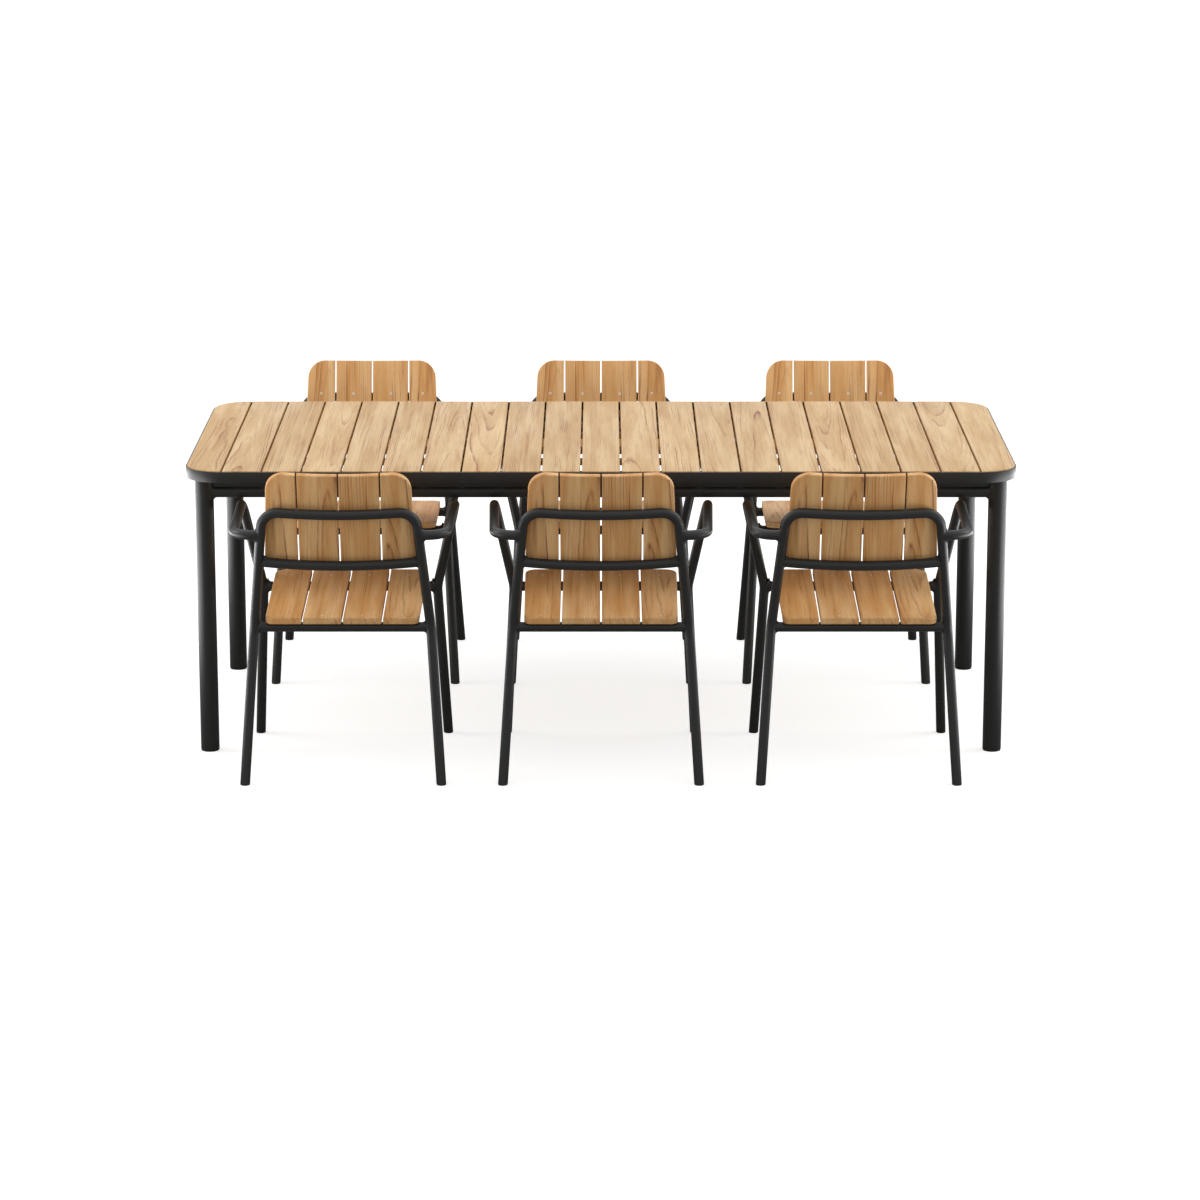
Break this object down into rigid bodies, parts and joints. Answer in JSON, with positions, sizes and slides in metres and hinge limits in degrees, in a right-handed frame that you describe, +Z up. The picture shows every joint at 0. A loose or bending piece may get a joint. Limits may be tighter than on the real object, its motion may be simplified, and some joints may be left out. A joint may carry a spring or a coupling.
{
  "type": "patio dining set",
  "caption": "Slatted wooden-topped rectangular outdoor table on round metal legs, with tube-framed armchairs of wooden slats along both long sides.",
  "frame": {"origin": "on the floor under the middle of the table top", "axes": "+X along the table's length, +Y across the table, +Z up"},
  "size_m": [2.13, 1.5834, 0.8113],
  "materials": {
    "frame_paint": "charcoal powder coat, fine satin texture",
    "table_wood": "pale oiled teak, sanded",
    "chair_wood": "oiled teak, sanded",
    "batten_wood": "teak battens, unfinished underside",
    "stainless_screws": "stainless steel",
    "glide_plastic": "black moulded plastic"
  },
  "bodies": {
    "table": {"table_slats": "table_wood", "table_battens": "batten_wood", "table_rim": "frame_paint", "table_corner_plates": "frame_paint", "table_glides": "glide_plastic", "table_aprons": "frame_paint", "table_support_frame": "frame_paint", "table_screws": "stainless_screws", "table_leg_front_left": "frame_paint", "table_leg_front_right": "frame_paint", "table_leg_back_left": "frame_paint", "table_leg_back_right": "frame_paint"},
    "front_left_chair": {"front_left_chair_rear_frame": "frame_paint", "front_left_chair_left_arm_and_leg": "frame_paint", "front_left_chair_right_arm_and_leg": "frame_paint", "front_left_chair_cross_rails": "frame_paint", "front_left_chair_seat_slats": "chair_wood", "front_left_chair_back_slats": "chair_wood", "front_left_chair_screws": "stainless_screws", "front_left_chair_glides": "glide_plastic"},
    "front_middle_chair": {"front_middle_chair_rear_frame": "frame_paint", "front_middle_chair_left_arm_and_leg": "frame_paint", "front_middle_chair_right_arm_and_leg": "frame_paint", "front_middle_chair_cross_rails": "frame_paint", "front_middle_chair_seat_slats": "chair_wood", "front_middle_chair_back_slats": "chair_wood", "front_middle_chair_screws": "stainless_screws", "front_middle_chair_glides": "glide_plastic"},
    "front_right_chair": {"front_right_chair_rear_frame": "frame_paint", "front_right_chair_left_arm_and_leg": "frame_paint", "front_right_chair_right_arm_and_leg": "frame_paint", "front_right_chair_cross_rails": "frame_paint", "front_right_chair_seat_slats": "chair_wood", "front_right_chair_back_slats": "chair_wood", "front_right_chair_screws": "stainless_screws", "front_right_chair_glides": "glide_plastic"},
    "back_left_chair": {"back_left_chair_rear_frame": "frame_paint", "back_left_chair_left_arm_and_leg": "frame_paint", "back_left_chair_right_arm_and_leg": "frame_paint", "back_left_chair_cross_rails": "frame_paint", "back_left_chair_seat_slats": "chair_wood", "back_left_chair_back_slats": "chair_wood", "back_left_chair_screws": "stainless_screws", "back_left_chair_glides": "glide_plastic"},
    "back_middle_chair": {"back_middle_chair_rear_frame": "frame_paint", "back_middle_chair_left_arm_and_leg": "frame_paint", "back_middle_chair_right_arm_and_leg": "frame_paint", "back_middle_chair_cross_rails": "frame_paint", "back_middle_chair_seat_slats": "chair_wood", "back_middle_chair_back_slats": "chair_wood", "back_middle_chair_screws": "stainless_screws", "back_middle_chair_glides": "glide_plastic"},
    "back_right_chair": {"back_right_chair_rear_frame": "frame_paint", "back_right_chair_left_arm_and_leg": "frame_paint", "back_right_chair_right_arm_and_leg": "frame_paint", "back_right_chair_cross_rails": "frame_paint", "back_right_chair_seat_slats": "chair_wood", "back_right_chair_back_slats": "chair_wood", "back_right_chair_screws": "stainless_screws", "back_right_chair_glides": "glide_plastic"}
  },
  "joints": [
    {"name": "front_left_chair_slide", "type": "slide", "parent": "table", "child": "front_left_chair", "axis": [0, -1, 0], "range_m": [-0.2, 0.5]},
    {"name": "front_middle_chair_slide", "type": "slide", "parent": "table", "child": "front_middle_chair", "axis": [0, -1, 0], "range_m": [-0.2, 0.5]},
    {"name": "front_right_chair_slide", "type": "slide", "parent": "table", "child": "front_right_chair", "axis": [0, -1, 0], "range_m": [-0.2, 0.5]},
    {"name": "back_left_chair_slide", "type": "slide", "parent": "table", "child": "back_left_chair", "axis": [0, 1, 0], "range_m": [-0.2, 0.5]},
    {"name": "back_middle_chair_slide", "type": "slide", "parent": "table", "child": "back_middle_chair", "axis": [0, 1, 0], "range_m": [-0.2, 0.5]},
    {"name": "back_right_chair_slide", "type": "slide", "parent": "table", "child": "back_right_chair", "axis": [0, 1, 0], "range_m": [-0.2, 0.5]}
  ]
}
